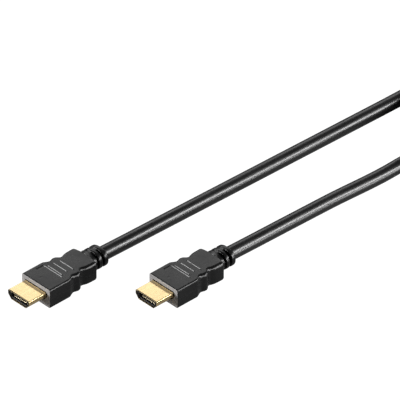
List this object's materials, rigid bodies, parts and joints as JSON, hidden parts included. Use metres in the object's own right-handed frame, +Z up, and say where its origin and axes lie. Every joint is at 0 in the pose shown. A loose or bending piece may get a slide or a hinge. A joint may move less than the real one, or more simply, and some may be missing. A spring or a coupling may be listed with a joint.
{
  "type": "hdmi cable",
  "caption": "Round black audio and video lead with a moulded type A plug on each end, gold-plated shells and side finger grips; the spare length lies in a flat tied coil.",
  "frame": {"origin": "On the floor, under the middle of the box round the two plugs.", "axes": "+Z is up. +X runs along both plugs from their tips to their cables, and the cable goes on to the coil at +X. Plug a is at +Y and plug b at -Y."},
  "size_m": [0.3073, 0.0981, 0.016],
  "materials": {
    "moulding": "black moulded PVC, satin, with a fine grain on the top face",
    "shell_gold": "gold-plated stamped steel, bright",
    "insulator": "black moulded nylon",
    "contact_gold": "gold-plated spring contact",
    "jacket": "black PVC jacket, half gloss",
    "tie": "black hook-and-loop tape"
  },
  "bodies": {
    "root": {"plug_a_body": "moulding", "plug_a_shell": "shell_gold", "plug_a_insulator": "insulator", "plug_a_contact_top_1": "contact_gold", "plug_a_contact_top_2": "contact_gold", "plug_a_contact_top_3": "contact_gold", "plug_a_contact_top_4": "contact_gold", "plug_a_contact_top_5": "contact_gold", "plug_a_contact_top_6": "contact_gold", "plug_a_contact_top_7": "contact_gold", "plug_a_contact_top_8": "contact_gold", "plug_a_contact_top_9": "contact_gold", "plug_a_contact_top_10": "contact_gold", "plug_a_contact_bottom_1": "contact_gold", "plug_a_contact_bottom_2": "contact_gold", "plug_a_contact_bottom_3": "contact_gold", "plug_a_contact_bottom_4": "contact_gold", "plug_a_contact_bottom_5": "contact_gold", "plug_a_contact_bottom_6": "contact_gold", "plug_a_contact_bottom_7": "contact_gold", "plug_a_contact_bottom_8": "contact_gold", "plug_a_contact_bottom_9": "contact_gold", "plug_b_body": "moulding", "plug_b_shell": "shell_gold", "plug_b_insulator": "insulator", "plug_b_contact_top_1": "contact_gold", "plug_b_contact_top_2": "contact_gold", "plug_b_contact_top_3": "contact_gold", "plug_b_contact_top_4": "contact_gold", "plug_b_contact_top_5": "contact_gold", "plug_b_contact_top_6": "contact_gold", "plug_b_contact_top_7": "contact_gold", "plug_b_contact_top_8": "contact_gold", "plug_b_contact_top_9": "contact_gold", "plug_b_contact_top_10": "contact_gold", "plug_b_contact_bottom_1": "contact_gold", "plug_b_contact_bottom_2": "contact_gold", "plug_b_contact_bottom_3": "contact_gold", "plug_b_contact_bottom_4": "contact_gold", "plug_b_contact_bottom_5": "contact_gold", "plug_b_contact_bottom_6": "contact_gold", "plug_b_contact_bottom_7": "contact_gold", "plug_b_contact_bottom_8": "contact_gold", "plug_b_contact_bottom_9": "contact_gold", "cable_run_a": "jacket", "cable_run_b": "jacket", "cable_coil": "jacket", "cable_tie": "tie"}
  },
  "joints": []
}
